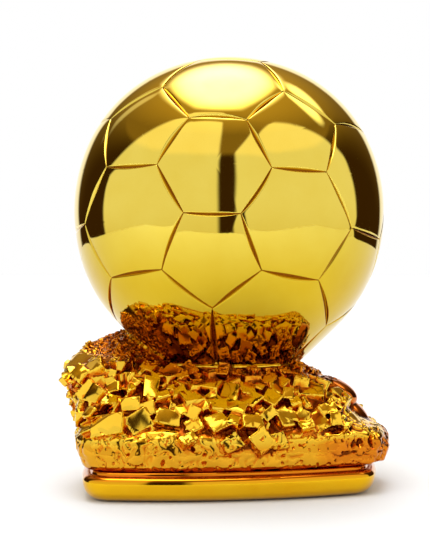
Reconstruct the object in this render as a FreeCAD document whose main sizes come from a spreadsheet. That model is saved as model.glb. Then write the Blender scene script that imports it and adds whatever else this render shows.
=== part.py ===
"""Figure trophy: a plated football standing on a rock base with a bullnose plinth.

Millimetres, +Z up.  The origin is the middle of the underside, below the ball's centre.
-Y is the front and +X is the object's right-hand side as seen from the front.
The stack, from the bottom: felt, board, plinth, rock, ball.  One threaded rod on the ball's
axis clamps a ballast weight and the rock against a plug in the bottom of the ball.
"""
import FreeCAD, Part
import math
import os
import random
import Sketcher
from FreeCAD import Placement, Rotation, Vector

DOC = FreeCAD.newDocument("FigureTrophy")
SHEET = DOC.addObject("Spreadsheet::Sheet", "Dimensions")

DIMENSIONS = [
    ("ball_radius", 65.5, "outside of the football"),
    ("ball_height", 112.8, "ball centre above the underside"),
    ("ball_wall", 5.0, "cast wall of the football"),
    ("skirt_angle", 45.0, "slope of the cone below the ball, degrees"),
    ("neck_radius", 28.5, "flat ring on which the ball stands"),
    ("pour_hole_radius", 20.0, "opening in the bottom of the ball"),
    ("seam_yaw", 64.7, "turn of the seam pattern about Z, degrees"),
    ("seam_pitch", 4.2, "then about Y"),
    ("seam_roll", -31.3, "then about X"),
    ("seam_stretch", 0.073, "the carved pattern is longer from front to back"),
    ("seam_shear", -0.05, "and leans a little"),
    ("seam_depth", 0.3, "depth of a groove at its two ends"),
    ("seam_half_angle", 32.0, "half of the V, degrees"),
    ("plug_height", 12.0, "plug in the bottom of the ball"),
    ("insert_radius", 4.2, "brass insert"),
    ("insert_length", 9.0, "brass insert"),
    ("bead_width", 3.0, "adhesive bead around the neck"),
    ("bead_height", 2.0, "adhesive bead around the neck"),
    ("rod_radius", 3.0, "M6 rod"),
    ("rod_clearance", 0.3, "round the rod where it passes through"),
    ("rod_engagement", 8.0, "thread inside the insert"),
    ("rod_tail", 2.0, "rod past the nut"),
    ("nut_flats", 10.0, "M6 nut"),
    ("nut_height", 5.0, "M6 nut"),
    ("spring_washer_radius", 5.9, "M6 spring washer"),
    ("spring_washer_height", 1.6, "M6 spring washer"),
    ("spring_washer_gap", 1.0, "width of the split"),
    ("spring_washer_lean", 25.0, "lean of the split, degrees"),
    ("washer_clearance", 0.1, "round the rod, in both washers"),
    ("rod_chamfer", 0.7, "both ends of the rod"),
    ("washer_radius", 9.0, "M6 wide washer"),
    ("washer_height", 1.6, "M6 wide washer"),
    ("ballast_radius", 32.0, "cast iron weight"),
    ("ballast_height", 18.0, "cast iron weight"),
    ("ballast_chamfer", 1.5, "cast iron weight, outer rims"),
    ("cavity_foot_radius", 40.0, "hollow of the rock at its foot"),
    ("cavity_top_radius", 34.0, "hollow of the rock under its crown"),
    ("cavity_height", 24.7, "hollow of the rock"),
    ("felt_thickness", 1.2, "felt"),
    ("felt_proud", 0.5, "felt below the plinth's rim"),
    ("board_thickness", 3.0, "hardboard"),
    ("plinth_height", 9.8, "bullnose, without the lip"),
    ("plinth_lower_round", 6.1, "bullnose, below its widest line"),
    ("plinth_upper_round", 3.2, "bullnose, above its widest line"),
    ("lip_height", 1.0, "raised lip under the rock"),
    ("lip_inset", 3.5, "raised lip under the rock"),
    ("rebate_inset", 9.5, "recess for the board, from the widest line"),
    ("window_radius", 36.0, "opening in the plinth, through which the nut is reached"),
    ("fit_gap", 0.2, "board and felt in their recess"),
    ("dowel_radius", 2.0, "steel dowels"),
    ("dowel_length", 8.0, "steel dowels"),
    ("dowel_inset", 8.2, "plinth dowels, from the widest line towards the rod"),
    ("pin_offset", 12.0, "pin that stops the ball turning, from the rod"),
    ("pin_length", 12.0, "pin that stops the ball turning"),
    ("screw_head_radius", 3.0, "countersunk wood screw"),
    ("screw_radius", 1.5, "countersunk wood screw"),
    ("screw_head_height", 1.6, "countersunk wood screw"),
    ("screw_length", 8.6, "countersunk wood screw"),
    ("screw_inset", 15.0, "screws, from the widest line towards the rod"),
    ("crystal_smallest", 5.0, "edge of a crystal on the rock"),
    ("crystal_largest", 9.5, "edge of a crystal on the rock"),
]

for row, (alias, value, meaning) in enumerate(DIMENSIONS, start=1):
    SHEET.set("A%d" % row, alias)
    SHEET.set("B%d" % row, str(value))
    SHEET.set("C%d" % row, meaning)
    SHEET.setAlias("B%d" % row, alias)
DOC.recompute()


def size(alias):
    """The number in the sheet's cell of that name."""
    return float(SHEET.get(alias))


def bind(item, prop, expression):
    """Tie a property to the sheet.  Each $name in the expression is a cell."""
    item.setExpression(prop, expression.replace("$", "Dimensions."))


# Heights of the stack, as expressions of the sheet's cells.
RIM = "$felt_proud"
BOARD_FOOT = "$felt_thickness"
BOARD_HEAD = "$felt_thickness + $board_thickness"
LIP_FOOT = "$felt_proud + $plinth_height"
ROCK_FOOT = LIP_FOOT + " + $lip_height"
CROWN_FOOT = ROCK_FOOT + " + $cavity_height"
BALLAST_FOOT = CROWN_FOOT + " - $ballast_height"
WASHER_FOOT = BALLAST_FOOT + " - $washer_height"
SPRING_FOOT = WASHER_FOOT + " - $spring_washer_height"
NUT_FOOT = SPRING_FOOT + " - $nut_height"
ROD_FOOT = NUT_FOOT + " - $rod_tail"
# The skirt is tangent to the ball, so its foot follows from the neck's radius.
NECK = ("$ball_height + $neck_radius * tan($skirt_angle * 1deg)"
        " - $ball_radius / cos($skirt_angle * 1deg)")


def height_of(expression):
    """The value of one of the stack's heights."""
    probe = DOC.addObject("App::FeaturePython", "Probe")
    probe.addProperty("App::PropertyFloat", "Height")
    bind(probe, "Height", expression)
    probe.recompute()
    value = probe.Height
    DOC.removeObject(probe.Name)
    return value


# ---------------------------------------------------------------- outline of the plinth

# Widest line of the plinth seen from above, as tangent arcs taken anticlockwise: the direction
# in which the outline faces where the arc begins, in degrees from +X, and the arc's radius.
# The front left corner is tight and the front right corner is swept back.  The two radii that
# are left open, of the back and of the left side, follow from the outline closing.
PLINTH_ARCS = [(-96, 188), (-66, 13), (-12, 125), (14, 34), (66, None), (114, 34),
               (168, None), (189, 12)]
PLINTH_START = Vector(-46.2, -64.4, 0)


def facing(angle):
    """The unit vector at an angle in degrees."""
    return Vector(math.cos(math.radians(angle)), math.sin(math.radians(angle)), 0)


def plinth_arcs():
    """The arcs as (centre, radius, first angle, last angle)."""
    spans = []
    for number, (first, radius) in enumerate(PLINTH_ARCS):
        last = (PLINTH_ARCS + [(PLINTH_ARCS[0][0] + 360, 0)])[number + 1][0]
        spans.append((first, last, radius))
    given = Vector()
    steps = []
    for first, last, radius in spans:
        if radius is None:
            steps.append(facing(last) - facing(first))
        else:
            given += (facing(last) - facing(first)) * radius
    one, two = steps
    area = one.x * two.y - one.y * two.x
    closing = [(given.y * two.x - given.x * two.y) / area,
               (given.x * one.y - given.y * one.x) / area]
    arcs = []
    place = PLINTH_START
    for first, last, radius in spans:
        if radius is None:
            radius = closing.pop(0)
        centre = place - facing(first) * radius
        arcs.append((centre, radius, first, last))
        place = centre + facing(last) * radius
    return arcs


def outline_arcs(inset):
    """The outline moved inwards, as curves."""
    return [Part.ArcOfCircle(Part.Circle(centre, Vector(0, 0, 1), radius - inset),
                             math.radians(first), math.radians(last))
            for centre, radius, first, last in plinth_arcs()]


def outline(inset, count):
    """Points spaced evenly along the outline moved inwards."""
    wire = Part.Wire([arc.toShape() for arc in outline_arcs(inset)])
    return [(point.x, point.y) for point in wire.discretize(Number=count + 1)[:-1]]


# ---------------------------------------------------------------- building blocks

def label(item, name):
    """Name a sub-part."""
    item.Label = name
    return item


def new_body(name):
    """An empty PartDesign body."""
    return label(DOC.addObject("PartDesign::Body", name + "_body"), name)


def new_sketch(body, role, name, lift=None):
    """A sketch on one of the body's own origin planes, lifted off it if need be."""
    plane = [item for item in body.Origin.OriginFeatures if item.Role == role][0]
    sketch = body.newObject("Sketcher::SketchObject", name)
    sketch.AttachmentSupport = (plane, [""])
    sketch.MapMode = "FlatFace"
    if lift:
        bind(sketch, "AttachmentOffset.Base.z", lift)
    return sketch


def pad(body, sketch, length, name):
    """A Pad of the sketch, upwards."""
    feature = body.newObject("PartDesign::Pad", name)
    feature.Profile = sketch
    bind(feature, "Length", length)
    sketch.Visibility = False
    return feature


def pocket(body, sketch, depth, name):
    """A Pocket of the sketch that cuts upwards."""
    feature = body.newObject("PartDesign::Pocket", name)
    feature.Profile = sketch
    feature.Reversed = True
    bind(feature, "Length", depth)
    return feature


def circle(sketch, radius, name):
    """A circle round the sketch's origin with a bound radius."""
    curve = Part.Circle(Vector(), Vector(0, 0, 1), height_of(radius))
    index = sketch.addGeometry(curve)
    sketch.addConstraint(Sketcher.Constraint("Coincident", index, 3, -1, 1))
    rule = sketch.addConstraint(Sketcher.Constraint("Radius", index, height_of(radius)))
    sketch.renameConstraint(rule, name)
    bind(sketch, "Constraints." + name, radius)


def turned(name, foot, length, outer, inner=None):
    """A body with one round pad, and a bore if an inner radius is given."""
    body = new_body(name)
    sketch = new_sketch(body, "XY_Plane", name + "_section")
    circle(sketch, outer, "outer")
    if inner:
        circle(sketch, inner, "bore")
    pad(body, sketch, length, name + "_pad")
    bind(body, "Placement.Base.z", foot)
    return body


def chamfer_rims(body, edges, width):
    """A small chamfer on the named edges of the body's last feature."""
    DOC.recompute()
    feature = body.newObject("PartDesign::Chamfer", body.Label + "_chamfer")
    feature.Base = (body.Group[-2], edges)
    feature.Size = width
    return feature


def picked_edges(body, test):
    """Names of the edges of the body's shape that the test picks."""
    return ["Edge%d" % (number + 1) for number, edge in enumerate(body.Shape.Edges) if test(edge)]


def rims_wider_than(body, radius):
    """Names of the closed edges of the body's shape that are wider than a radius."""
    return picked_edges(body, lambda edge: edge.isClosed() and edge.Length > 2 * math.pi * radius)


def compound(name, parts):
    """Several separate solids as one object."""
    group = DOC.addObject("Part::Compound", name + "_group")
    group.Links = parts
    return label(group, name)


def cut(name, base, tools):
    """The base with every tool cut out of it."""
    tool = tools[0]
    if len(tools) > 1:
        tool = DOC.addObject("Part::MultiFuse", name + "_tools")
        tool.Shapes = tools
    result = DOC.addObject("Part::Cut", name + "_cut")
    result.Base = base
    result.Tool = tool
    return label(result, name)


def cylinder(name, foot, length, radius, x=0.0, y=0.0):
    """A Part cylinder standing at x, y."""
    item = DOC.addObject("Part::Cylinder", name)
    bind(item, "Radius", radius)
    bind(item, "Height", length)
    item.Placement.Base = Vector(x, y, 0)
    bind(item, "Placement.Base.z", foot)
    return item


# ---------------------------------------------------------------- football

def football_blank():
    """The outside of the ball as a solid: a sphere with a tangent skirt down to the neck."""
    body = new_body("football_blank")
    sketch = new_sketch(body, "XZ_Plane", "football_profile")
    radius = size("ball_radius")
    centre = size("ball_height")
    neck = size("neck_radius")
    foot = height_of(NECK)
    slope = math.radians(size("skirt_angle"))
    middle = Vector(0, centre, 0)
    start = middle + Vector(radius * math.sin(slope), -radius * math.cos(slope), 0)
    top = Vector(0, centre + radius, 0)
    round_side = Part.ArcOfCircle(Part.Circle(middle, Vector(0, 0, 1), radius),
                                  slope - math.pi / 2, math.pi / 2)
    skirt = Part.LineSegment(start, Vector(neck, foot, 0))
    floor = Part.LineSegment(Vector(neck, foot, 0), Vector(0, foot, 0))
    axis = Part.LineSegment(Vector(0, foot, 0), top)
    sketch.addGeometry([round_side, skirt, floor, axis])
    rule = Sketcher.Constraint
    sketch.addConstraint([
        rule("Tangent", 0, 1, 1, 1), rule("Coincident", 1, 2, 2, 1),
        rule("Coincident", 2, 2, 3, 1), rule("Coincident", 3, 2, 0, 2),
        rule("PointOnObject", 0, 3, -2), rule("PointOnObject", 3, 1, -2),
        rule("PointOnObject", 3, 2, -2), rule("Horizontal", 2)])
    for name, index, bound in (("radius", rule("Radius", 0, radius), "$ball_radius"),
                               ("centre", rule("DistanceY", -1, 1, 0, 3, centre),
                                "$ball_height"),
                               ("neck", rule("DistanceX", -1, 1, 1, 2, neck), "$neck_radius"),
                               ("foot", rule("DistanceY", -1, 1, 1, 2, foot), NECK)):
        number = sketch.addConstraint(index)
        sketch.renameConstraint(number, name)
        bind(sketch, "Constraints." + name, bound)
    turn = body.newObject("PartDesign::Revolution", "football_turn")
    turn.Profile = sketch
    turn.ReferenceAxis = (sketch, ["V_Axis"])
    turn.Angle = 360
    return body


def ball_corners():
    """Directions from the ball's centre to the 60 corners of its seams."""
    golden = (1 + math.sqrt(5)) / 2
    bases = [(0, 1, 3 * golden), (1, 2 + golden, 2 * golden), (golden, 2, 2 * golden + 1)]
    corners = []
    for base in bases:
        for shift in range(3):
            turned_base = base[shift:] + base[:shift]
            for signs in range(8):
                corner = [value * (-1 if signs >> place & 1 else 1)
                          for place, value in enumerate(turned_base)]
                if corner not in corners:
                    corners.append(corner)
    return [Vector(*corner) for corner in corners]


def carved(direction):
    """A corner as it lies on the ball: the pattern turned, then stretched and leaning."""
    turn = Rotation(size("seam_yaw"), size("seam_pitch"), size("seam_roll"))
    turned_corner = turn.multVec(direction)
    stretch = size("seam_stretch")
    shear = size("seam_shear")
    result = Vector(turned_corner.x * (1 - stretch),
                    turned_corner.y * (1 + 2 * stretch) + turned_corner.z * shear,
                    turned_corner.z * (1 - stretch) + turned_corner.y * shear)
    return result.normalize()


def on_ball(direction):
    """The point of the ball's outside in that direction, from the ball's centre."""
    slope = math.radians(size("skirt_angle"))
    radius = size("ball_radius")
    down = math.asin(-direction.z)
    if down > math.pi / 2 - slope:
        radius = radius / math.cos(down - (math.pi / 2 - slope))
    return direction * radius


def seams():
    """Pairs of points on the ball's outside, one pair for each seam above the neck."""
    corners = ball_corners()
    edge = min((corners[0] - other).Length for other in corners[1:])
    neck_slope = math.atan2(size("ball_height") - height_of(NECK), size("neck_radius"))
    pairs = []
    for first in range(len(corners)):
        for second in range(first + 1, len(corners)):
            if (corners[first] - corners[second]).Length > edge * 1.1:
                continue
            ends = carved(corners[first]), carved(corners[second])
            if max(math.asin(-end.z) for end in ends) < neck_slope:
                pairs.append((on_ball(ends[0]), on_ball(ends[1])))
    return pairs


def seam_cutter(first, last):
    """A straight V-shaped prism along the chord between two corners."""
    overshoot = 0.5
    opening = 4.0
    outwards = (first + last).normalize()
    along = (last - first).normalize()
    across = along.cross(outwards)
    half = opening * math.tan(math.radians(size("seam_half_angle")))
    start = first - outwards * size("seam_depth") - along * overshoot
    section = Part.makePolygon([start, start + outwards * opening + across * half,
                                start + outwards * opening - across * half, start])
    return Part.Face(section).extrude(last - first + along * 2 * overshoot)


def football_shell(blank):
    """The cast shell: the blank hollowed, open at the bottom and cut by its seams."""
    hollow = DOC.addObject("Part::Sphere", "football_hollow")
    bind(hollow, "Radius", "$ball_radius - $ball_wall")
    bind(hollow, "Placement.Base.z", "$ball_height")
    hole = cylinder("football_pour_hole", NECK + " - $bead_height", "$plug_height",
                    "$pour_hole_radius")
    grooves = DOC.addObject("Part::Feature", "football_seams")
    cutters = [seam_cutter(*pair) for pair in seams()]
    grooves.Shape = cutters[0].fuse(cutters[1:])
    grooves.Placement = Placement(Vector(0, 0, size("ball_height")), Rotation())
    opened = cut("football_opened", blank, [hollow, hole])
    return cut("football_shell", opened, [grooves])


def neck_bead():
    """The adhesive bead in the corner between the ball's skirt and the rock's crown."""
    foot = height_of(NECK)
    inner = size("neck_radius")
    rise = size("bead_height")
    lean = rise / math.tan(math.radians(size("skirt_angle")))
    section = Part.makePolygon([Vector(inner, 0, foot),
                                Vector(inner + size("bead_width"), 0, foot),
                                Vector(inner + lean, 0, foot + rise),
                                Vector(inner, 0, foot)])
    item = DOC.addObject("Part::Feature", "neck_bead_feature")
    item.Shape = Part.Face(section).revolve(Vector(), Vector(0, 0, 1), 360)
    return label(item, "neck_bead")


# ---------------------------------------------------------------- rock

# Courses of the mound: height above the underside, then how far it reaches to the left,
# right, front and back of the ball's axis.
COURSES = [(11.3, 56.0, 57.0, 58.0, 45.0), (14.5, 60.0, 64.5, 60.5, 47.5),
           (25.0, 62.5, 61.5, 60.0, 48.0), (34.0, 62.6, 54.0, 55.0, 45.0),
           (41.0, 62.0, 45.5, 45.0, 39.0), (46.0, 56.0, 35.0, 36.0, 34.0),
           (48.7, 45.0, 29.5, 30.0, 30.5)]
ROCK_SIDES = 26
ROCK_SEED = 7
UNEVENNESS = 0.018
BOULDER_TIERS = (-0.8, -0.45, 0.0, 0.45, 0.8)
BOULDER_SIDES = 12
# Rows of crystals: the course they stand on and how far in they sit, as a share of their edge.
CRYSTAL_ROWS = ((2, 0.35), (3, 0.25), (4, 0.2))
CRYSTAL_LEAN = 35
CRYSTAL_STRAY = 2.5
CRYSTAL_FLATNESS = 0.8
SHOULDER = (Vector(-45.0, -5, 41), Vector(22.0, 34, 26.0))
KNOB = (Vector(39, -20, 41.5), Vector(9.0, 10, 5.5))


def course(level, jitter):
    """One course of the mound as a ring of points."""
    height, left, right, front, back = level
    widest = outline(0.0, ROCK_SIDES)
    half_width = max(x for x, y in widest)
    half_front = -min(y for x, y in widest)
    half_back = max(y for x, y in widest)
    ring = []
    for x, y in widest:
        x *= (left if x < 0 else right) / half_width
        y *= front / half_front if y < 0 else back / half_back
        swell = 1 + jitter()
        ring.append(Vector(x * swell, y * swell, height))
    return ring


def polyhedron(rings):
    """A closed solid of triangles between rings, with a flat cap at each end."""
    faces = []
    for lower, upper in zip(rings, rings[1:]):
        count = len(lower)
        for here in range(count):
            there = (here + 1) % count
            for corners in ((lower[here], lower[there], upper[there]),
                            (lower[here], upper[there], upper[here])):
                faces.append(Part.Face(Part.makePolygon(list(corners) + [corners[0]])))
    for ring in (rings[0], rings[-1]):
        faces.append(Part.Face(Part.makePolygon(ring + [ring[0]])))
    solid = Part.makeSolid(Part.makeShell(faces))
    if solid.Volume < 0:
        solid.reverse()
    return solid


def boulder(centre, reach, jitter):
    """A lumpy ellipsoid of flat facets."""
    rings = []
    for tier in BOULDER_TIERS:
        girth = math.sqrt(1 - tier * tier)
        ring = []
        for step in range(BOULDER_SIDES):
            turn = 2 * math.pi * step / BOULDER_SIDES
            swell = girth * (1 + 2 * jitter())
            ring.append(centre + Vector(reach.x * swell * math.cos(turn),
                                        reach.y * swell * math.sin(turn), reach.z * tier))
        rings.append(ring)
    return polyhedron(rings)


def crystals(rings, dice):
    """Tilted cubes sunk into the sides of the mound, in three loose rows."""
    cubes = []
    for tier, share in CRYSTAL_ROWS:
        for here in range(0, ROCK_SIDES, 2):
            place = rings[tier][(here + tier) % ROCK_SIDES]
            edge = dice.uniform(size("crystal_smallest"), size("crystal_largest"))
            inwards = Vector(-place.x, -place.y, 0).normalize()
            stray = dice.uniform(-CRYSTAL_STRAY, CRYSTAL_STRAY)
            centre = place + inwards * edge * share + Vector(0, 0, stray)
            turn = Rotation(dice.uniform(0, 90), dice.uniform(-CRYSTAL_LEAN, CRYSTAL_LEAN),
                            dice.uniform(-CRYSTAL_LEAN, CRYSTAL_LEAN))
            tall = edge * CRYSTAL_FLATNESS
            cube = Part.makeBox(edge, edge, tall, Vector(-edge / 2, -edge / 2, -tall / 2))
            cube.Placement = Placement(centre, turn)
            cubes.append(cube)
    return cubes


def rock_mass():
    """The rock before it is hollowed: a mound, two boulders and its crystals."""
    dice = random.Random(ROCK_SEED)

    def jitter():
        return dice.uniform(-UNEVENNESS, UNEVENNESS)

    rings = [course(level, jitter) for level in COURSES]
    lumps = [boulder(*SHOULDER, jitter), boulder(*KNOB, jitter)]
    item = DOC.addObject("Part::Feature", "rock_mass")
    item.Shape = polyhedron(rings).fuse(lumps + crystals(rings, dice))
    return item


def rock_base(mass, tools):
    """The rock: hollow from below, bored for the rod and seated round the ball."""
    cavity = DOC.addObject("Part::Cone", "rock_cavity")
    bind(cavity, "Radius1", "$cavity_foot_radius")
    bind(cavity, "Radius2", "$cavity_top_radius")
    bind(cavity, "Height", "$cavity_height")
    bind(cavity, "Placement.Base.z", ROCK_FOOT)
    bore = cylinder("rock_bore", ROCK_FOOT, "$ball_height", "$rod_radius + $rod_clearance")
    return cut("rock_base", mass, [cavity, bore] + tools)


# ---------------------------------------------------------------- plinth and underside

def outline_sketch(body, name, inset, lift):
    """A sketch of the plinth's outline, moved inwards."""
    sketch = new_sketch(body, "XY_Plane", name, lift)
    sketch.addGeometry(outline_arcs(inset))
    return sketch


def plinth_blank():
    """The bullnose ring with its lip, its recess for the board and its shelf."""
    body = new_body("plinth_blank")
    disc = outline_sketch(body, "plinth_outline", 0.0, RIM)
    pad(body, disc, "$plinth_height", "plinth_pad")
    DOC.recompute()
    for name, level, bound in (("plinth_lower_bullnose", height_of(RIM), "$plinth_lower_round"),
                               ("plinth_upper_bullnose", height_of(LIP_FOOT),
                                "$plinth_upper_round")):
        edges = picked_edges(body, lambda edge: abs(edge.BoundBox.ZMax - level) < 0.01
                            and abs(edge.BoundBox.ZMin - level) < 0.01)
        rounding = body.newObject("PartDesign::Fillet", name)
        rounding.Base = (body.Group[-2], edges)
        bind(rounding, "Radius", bound)
        DOC.recompute()
    lip = outline_sketch(body, "plinth_lip_outline", size("lip_inset"), LIP_FOOT)
    pad(body, lip, "$lip_height", "plinth_lip")
    rebate = outline_sketch(body, "plinth_rebate_outline", size("rebate_inset"), RIM)
    pocket(body, rebate, BOARD_HEAD + " - $felt_proud", "plinth_rebate")
    window = new_sketch(body, "XY_Plane", "plinth_window_outline", RIM)
    circle(window, "$window_radius", "window")
    pocket(body, window, "$plinth_height + $lip_height", "plinth_window")
    return body


def flat_sheet(name, inset, foot, thickness):
    """A sheet cut to the recess in the plinth."""
    body = new_body(name)
    sketch = outline_sketch(body, name + "_outline", inset, None)
    pad(body, sketch, thickness, name + "_pad")
    bind(body, "Placement.Base.z", foot)
    return body


def screw(number, x, y):
    """One countersunk wood screw, head down, with a pointed tip."""
    parts = []
    for name, lower, upper, foot, length in (
            ("head", "$screw_head_radius", "$screw_radius", BOARD_FOOT, "$screw_head_height"),
            ("tip", "$screw_radius", "$screw_radius * 0.2",
             BOARD_FOOT + " + $screw_length - $screw_radius", "$screw_radius")):
        cone = DOC.addObject("Part::Cone", "screw_%s_%d" % (name, number))
        bind(cone, "Radius1", lower)
        bind(cone, "Radius2", upper)
        bind(cone, "Height", length)
        cone.Placement.Base = Vector(x, y, 0)
        bind(cone, "Placement.Base.z", foot)
        parts.append(cone)
    parts.append(cylinder("screw_shank_%d" % number, BOARD_FOOT + " + $screw_head_height",
                          "$screw_length - $screw_head_height - $screw_radius",
                          "$screw_radius", x, y))
    whole = DOC.addObject("Part::MultiFuse", "screw_solid_%d" % number)
    whole.Shapes = parts
    whole.Refine = True
    slot = DOC.addObject("Part::Box", "screw_slot_%d" % number)
    bind(slot, "Length", "$screw_head_radius * 1.6")
    bind(slot, "Width", "$screw_radius * 0.4")
    bind(slot, "Height", "$screw_head_height * 0.5")
    slot.Placement.Base = Vector(x, y, 0)
    bind(slot, "Placement.Base.x", "%f - $screw_head_radius * 0.8" % x)
    bind(slot, "Placement.Base.y", "%f - $screw_radius * 0.2" % y)
    bind(slot, "Placement.Base.z", BOARD_FOOT)
    return whole, cut("screw_%d" % number, whole, [slot])


# ---------------------------------------------------------------- rod and what it clamps

def hex_nut():
    """The M6 nut, its corners turned off at both faces."""
    prism = DOC.addObject("Part::Prism", "nut_prism")
    prism.Polygon = 6
    bind(prism, "Circumradius", "$nut_flats / sqrt(3)")
    bind(prism, "Height", "$nut_height")
    bind(prism, "Placement.Base.z", NUT_FOOT)
    turning = DOC.addObject("Part::Sphere", "nut_turning")
    bind(turning, "Radius", "$nut_flats * 0.6")
    bind(turning, "Placement.Base.z", NUT_FOOT + " + $nut_height / 2")
    crowned = DOC.addObject("Part::Common", "nut_crowned")
    crowned.Base = prism
    crowned.Tool = turning
    bore = cylinder("nut_bore", NUT_FOOT, "$nut_height", "$rod_radius")
    return cut("rod_nut", crowned, [bore])


def spring_washer():
    """The split washer under the nut."""
    ring = turned("spring_ring", SPRING_FOOT, "$spring_washer_height",
                  "$spring_washer_radius", "$rod_radius + $washer_clearance")
    gap = DOC.addObject("Part::Box", "spring_gap")
    bind(gap, "Length", "$spring_washer_radius * 2")
    bind(gap, "Width", "$spring_washer_gap")
    bind(gap, "Height", "$spring_washer_height * 3")
    gap.Placement = Placement(Vector(), Rotation(Vector(1, 0, 0), size("spring_washer_lean")))
    bind(gap, "Placement.Base.y", "-$spring_washer_gap / 2")
    bind(gap, "Placement.Base.z", SPRING_FOOT + " - $spring_washer_gap")
    return cut("rod_spring_washer", ring, [gap])


def clamped_stack():
    """The rod with its nut, washers and ballast weight, up to the insert in the ball."""
    rod = turned("centre_rod", ROD_FOOT, NECK + " + $rod_engagement - (" + ROD_FOOT + ")",
                 "$rod_radius")
    DOC.recompute()
    chamfer_rims(rod, rims_wider_than(rod, size("rod_radius") / 2), size("rod_chamfer"))
    ballast = turned("ballast_weight", BALLAST_FOOT, "$ballast_height", "$ballast_radius",
                     "$rod_radius + $rod_clearance")
    DOC.recompute()
    chamfer_rims(ballast, rims_wider_than(ballast, size("ballast_radius") / 2),
                 size("ballast_chamfer"))
    washer = turned("rod_washer", WASHER_FOOT, "$washer_height", "$washer_radius",
                    "$rod_radius + $washer_clearance")
    return [rod, ballast, washer, spring_washer(), hex_nut()]


def ball_fixings():
    """The plug in the ball, its brass insert and the pin that stops the ball turning."""
    pin_foot = NECK + " - $pin_length / 2"
    pin = label(cylinder("pin", pin_foot, "$pin_length", "$dowel_radius", size("pin_offset")),
                "locating_pin")
    sleeve = turned("threaded_insert", NECK, "$insert_length", "$insert_radius", "$rod_radius")
    disc = turned("plug_blank", NECK, "$plug_height", "$pour_hole_radius")
    seat = cylinder("insert_seat", NECK, "$insert_length", "$insert_radius")
    relief = cylinder("plug_relief", NECK, "$plug_height", "$rod_radius + $rod_clearance")
    plug = cut("ball_plug", disc, [seat, relief, pin])
    return pin, sleeve, plug


# ---------------------------------------------------------------- assembly

def towards_rod(points, distance):
    """Points of the outline moved straight towards the rod."""
    return [(x * (1 - distance / math.hypot(x, y)), y * (1 - distance / math.hypot(x, y)))
            for x, y in points]


def dowel_places():
    """Where the two dowels stand, on the left and on the right of the plinth."""
    ring = outline(0.0, 60)
    return towards_rod([min(ring), max(ring)], size("dowel_inset"))


def screw_places():
    """Where the six screws stand, evenly round the shelf."""
    return towards_rod(outline(0.0, 6), size("screw_inset"))


def build():
    """Every sub-part, in the order in which the object goes together."""
    blank = football_blank()
    pin, sleeve, plug = ball_fixings()
    bead = neck_bead()
    dowels = compound("plinth_dowels", [
        cylinder("dowel_%d" % number, ROCK_FOOT + " - $dowel_length / 2", "$dowel_length",
                 "$dowel_radius", x, y)
        for number, (x, y) in enumerate(dowel_places(), start=1)])
    made = [screw(number, x, y) for number, (x, y) in enumerate(screw_places(), start=1)]
    bores = [whole for whole, slotted in made]
    screws = compound("board_screws", [slotted for whole, slotted in made])
    board_blank = flat_sheet("board_blank", size("rebate_inset") + size("fit_gap"),
                             BOARD_FOOT, "$board_thickness")
    felt = flat_sheet("felt_pad", size("rebate_inset") + size("fit_gap"), "0 * $felt_proud",
                      "$felt_thickness")
    return [football_shell(blank), plug, sleeve, pin, bead,
            rock_base(rock_mass(), [blank, bead, pin, dowels]),
            cut("plinth", plinth_blank(), bores + [dowels]), dowels,
            cut("bottom_board", board_blank, bores), screws, felt] + clamped_stack()


def check(parts):
    """Stop if anything failed to build."""
    for item in DOC.Objects:
        if "Invalid" in item.State or "Error" in item.State:
            raise RuntimeError("%s did not build: %s" % (item.Label, item.State))
    for item in parts:
        if item.Shape.isNull() or not item.Shape.isValid():
            raise RuntimeError("%s has no valid shape" % item.Label)


def main():
    """Build the trophy and write one STEP file for each sub-part."""
    parts = build()
    DOC.recompute()
    check(parts)
    os.makedirs("parts", exist_ok=True)
    for item in parts:
        item.Shape.exportStep("parts/%s.step" % item.Label)
        box = item.Shape.BoundBox
        print("%-18s %2d solid(s) %9.0f mm3  z %6.2f to %6.2f"
              % (item.Label, len(item.Shape.Solids), item.Shape.Volume, box.ZMin, box.ZMax))


main()
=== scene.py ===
"""Figure trophy: the looks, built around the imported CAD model.

Metres, +Z up, the CAD model's frame: the origin is on the underside below the ball's centre,
-Y is the front.  The football, the rock, the plinth and the bead between ball and rock are
replaced with finely modelled pieces; the parts inside and underneath keep their CAD shapes.
"""
import functools
import math
import random

import bmesh
import bpy
import numpy as np
from mathutils import Euler, Matrix, Vector, noise
from mathutils.bvhtree import BVHTree


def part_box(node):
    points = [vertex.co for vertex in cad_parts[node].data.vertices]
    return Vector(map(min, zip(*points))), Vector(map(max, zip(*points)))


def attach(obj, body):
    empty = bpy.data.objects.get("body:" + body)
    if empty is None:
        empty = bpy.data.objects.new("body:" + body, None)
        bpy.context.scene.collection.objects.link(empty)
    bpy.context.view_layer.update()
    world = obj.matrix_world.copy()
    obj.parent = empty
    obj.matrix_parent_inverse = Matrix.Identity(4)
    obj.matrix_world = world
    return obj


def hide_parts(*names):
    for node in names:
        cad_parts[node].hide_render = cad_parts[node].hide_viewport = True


MM = 0.001

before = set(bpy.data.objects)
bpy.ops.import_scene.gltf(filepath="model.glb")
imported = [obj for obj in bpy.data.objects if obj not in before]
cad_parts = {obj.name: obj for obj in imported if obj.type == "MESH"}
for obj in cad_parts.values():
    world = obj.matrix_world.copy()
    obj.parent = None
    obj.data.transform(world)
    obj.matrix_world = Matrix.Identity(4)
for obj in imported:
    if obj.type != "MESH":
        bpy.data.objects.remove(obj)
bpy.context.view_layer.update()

# ---------------------------------------------------------------- sizes from the frame

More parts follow.
